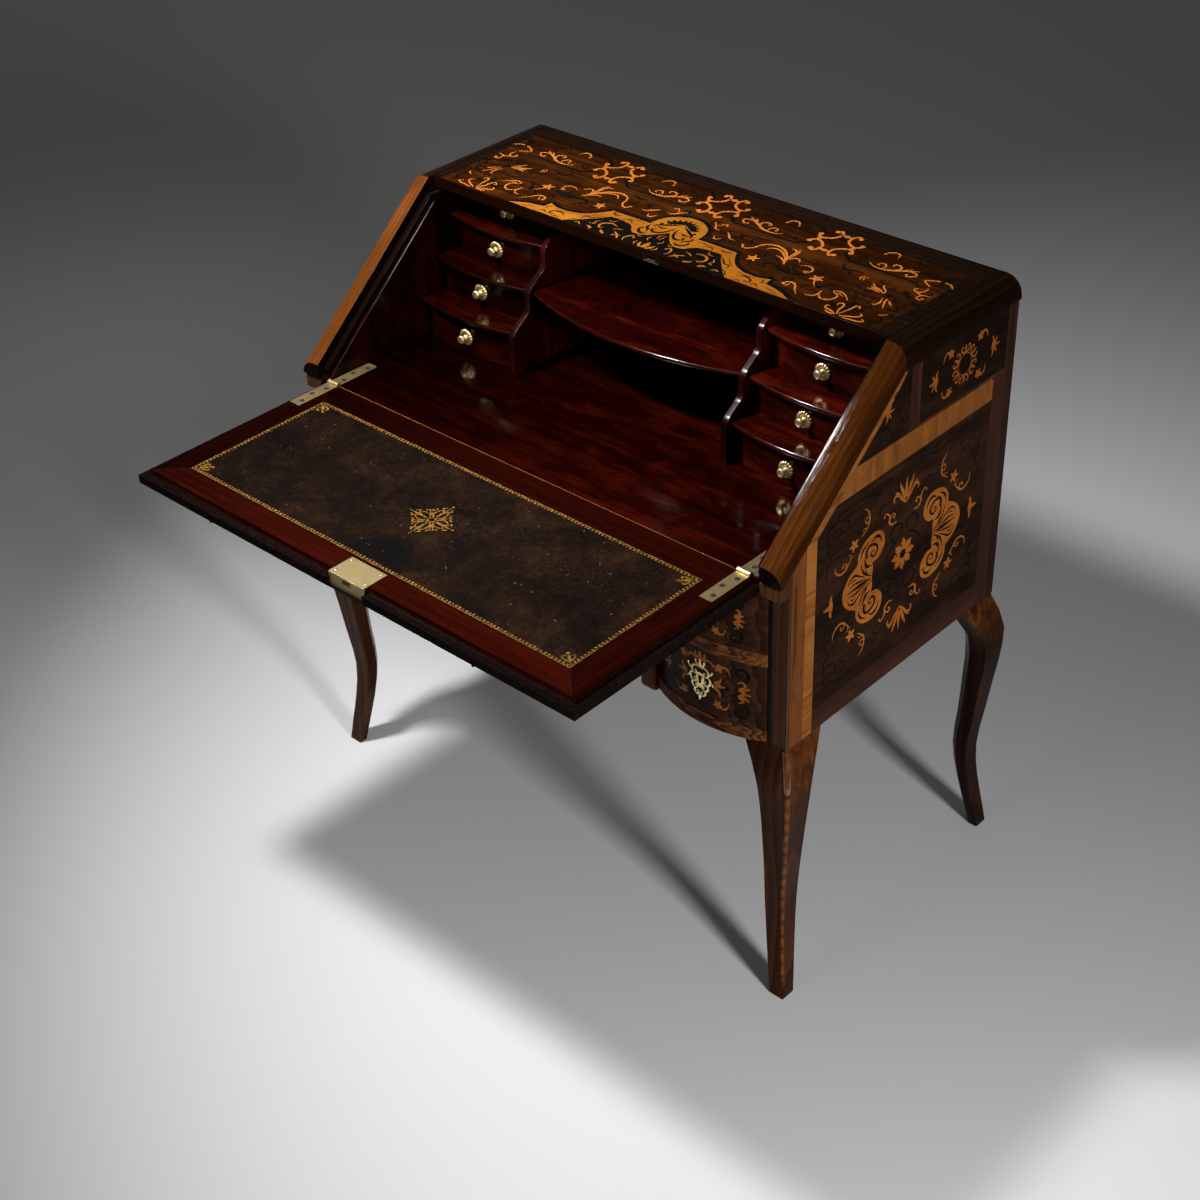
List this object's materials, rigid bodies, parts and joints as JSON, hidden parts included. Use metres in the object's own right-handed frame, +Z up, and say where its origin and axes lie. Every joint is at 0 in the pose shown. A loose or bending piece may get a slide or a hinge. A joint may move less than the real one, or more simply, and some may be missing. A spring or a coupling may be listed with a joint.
{
  "type": "fall-front secretary desk",
  "caption": "Slant-front writing desk on cabriole legs: marquetry case, hinged leather-lined fall, stepped nest of bow-front drawers and pedestal drawers beside a kneehole.",
  "frame": {"origin": "on the floor, under the middle of the box round the desk with its fall open", "axes": "+X to the right of a person sitting at the desk, +Y away from that person towards the back, +Z up"},
  "size_m": [0.979, 0.8971, 0.987],
  "materials": {
    "walnut_veneer": "French-polished walnut and rosewood veneer with inlay",
    "mahogany": "polished red mahogany",
    "oak_back": "plain unpolished back board",
    "brass": "worn polished brass",
    "desk_leather": "worn olive-brown desk leather, gold tooled"
  },
  "bodies": {
    "case": {"back_board": "oak_back", "case_side_left": "walnut_veneer", "case_side_right": "walnut_veneer", "centre_shelf": "mahogany", "desk_cheek_left": "mahogany", "desk_cheek_right": "mahogany", "drawer_rail_left": "walnut_veneer", "drawer_rail_right": "walnut_veneer", "front_rail": "walnut_veneer", "hinge_bed_leaf_left": "brass", "hinge_bed_leaf_right": "brass", "kneehole_rail": "walnut_veneer", "kneehole_wall_left": "walnut_veneer", "kneehole_wall_right": "walnut_veneer", "leg_back_left": "walnut_veneer", "leg_back_right": "walnut_veneer", "leg_front_left": "walnut_veneer", "leg_front_right": "walnut_veneer", "lock_keep": "brass", "nest_divider_left": "mahogany", "nest_divider_right": "mahogany", "pedestal_bottom_left": "walnut_veneer", "pedestal_bottom_right": "walnut_veneer", "slant_moulding_left": "walnut_veneer", "slant_moulding_right": "walnut_veneer", "step_shelf_left_1": "mahogany", "step_shelf_left_2": "mahogany", "step_shelf_left_3": "mahogany", "step_shelf_right_1": "mahogany", "step_shelf_right_2": "mahogany", "step_shelf_right_3": "mahogany", "top_board": "walnut_veneer", "writing_bed": "mahogany"},
    "fall": {"fall_panel": "mahogany", "fall_leather": "desk_leather", "hinge_fall_leaf_left": "brass", "hinge_fall_leaf_right": "brass", "lock_plate": "brass"},
    "lock_bolt": {"lock_bolt": "brass"},
    "nest_drawer_left_1": {"nest_drawer_left_1": "mahogany", "knob_left_1": "brass"},
    "nest_drawer_left_2": {"nest_drawer_left_2": "mahogany", "knob_left_2": "brass"},
    "nest_drawer_left_3": {"nest_drawer_left_3": "mahogany", "knob_left_3": "brass"},
    "nest_drawer_left_4": {"nest_drawer_left_4": "mahogany", "knob_left_4": "brass"},
    "lower_drawer_left": {"lower_drawer_left": "walnut_veneer"},
    "upper_drawer_left": {"upper_drawer_left": "walnut_veneer"},
    "nest_drawer_right_1": {"nest_drawer_right_1": "mahogany", "knob_right_1": "brass"},
    "nest_drawer_right_2": {"nest_drawer_right_2": "mahogany", "knob_right_2": "brass"},
    "nest_drawer_right_3": {"nest_drawer_right_3": "mahogany", "knob_right_3": "brass"},
    "nest_drawer_right_4": {"nest_drawer_right_4": "mahogany", "knob_right_4": "brass"},
    "lower_drawer_right": {"lower_drawer_right": "walnut_veneer"},
    "upper_drawer_right": {"upper_drawer_right": "walnut_veneer"},
    "centre_drawer": {"centre_drawer": "walnut_veneer"}
  },
  "joints": [
    {"name": "fall_hinge", "type": "hinge", "parent": "case", "child": "fall", "pos_m": [0, -0.09334, 0.74], "axis": [1, 0, 0], "range_deg": [-139.5, 0]},
    {"name": "lock_bolt_slide", "type": "slide", "parent": "fall", "child": "lock_bolt", "axis": [0, -1, 0], "range_m": [0, 0.013]},
    {"name": "nest_drawer_left_1_slide", "type": "slide", "parent": "case", "child": "nest_drawer_left_1", "axis": [0, -1, 0], "range_m": [0, 0.2]},
    {"name": "nest_drawer_left_2_slide", "type": "slide", "parent": "case", "child": "nest_drawer_left_2", "axis": [0, -1, 0], "range_m": [0, 0.17]},
    {"name": "nest_drawer_left_3_slide", "type": "slide", "parent": "case", "child": "nest_drawer_left_3", "axis": [0, -1, 0], "range_m": [0, 0.14]},
    {"name": "nest_drawer_left_4_slide", "type": "slide", "parent": "case", "child": "nest_drawer_left_4", "axis": [0, -1, 0], "range_m": [0, 0.12]},
    {"name": "lower_drawer_left_slide", "type": "slide", "parent": "case", "child": "lower_drawer_left", "axis": [0, -1, 0], "range_m": [0, 0.32]},
    {"name": "upper_drawer_left_slide", "type": "slide", "parent": "case", "child": "upper_drawer_left", "axis": [0, -1, 0], "range_m": [0, 0.32]},
    {"name": "nest_drawer_right_1_slide", "type": "slide", "parent": "case", "child": "nest_drawer_right_1", "axis": [0, -1, 0], "range_m": [0, 0.2]},
    {"name": "nest_drawer_right_2_slide", "type": "slide", "parent": "case", "child": "nest_drawer_right_2", "axis": [0, -1, 0], "range_m": [0, 0.17]},
    {"name": "nest_drawer_right_3_slide", "type": "slide", "parent": "case", "child": "nest_drawer_right_3", "axis": [0, -1, 0], "range_m": [0, 0.14]},
    {"name": "nest_drawer_right_4_slide", "type": "slide", "parent": "case", "child": "nest_drawer_right_4", "axis": [0, -1, 0], "range_m": [0, 0.12]},
    {"name": "lower_drawer_right_slide", "type": "slide", "parent": "case", "child": "lower_drawer_right", "axis": [0, -1, 0], "range_m": [0, 0.32]},
    {"name": "upper_drawer_right_slide", "type": "slide", "parent": "case", "child": "upper_drawer_right", "axis": [0, -1, 0], "range_m": [0, 0.32]},
    {"name": "centre_drawer_slide", "type": "slide", "parent": "case", "child": "centre_drawer", "axis": [0, -1, 0], "range_m": [0, 0.32]}
  ]
}
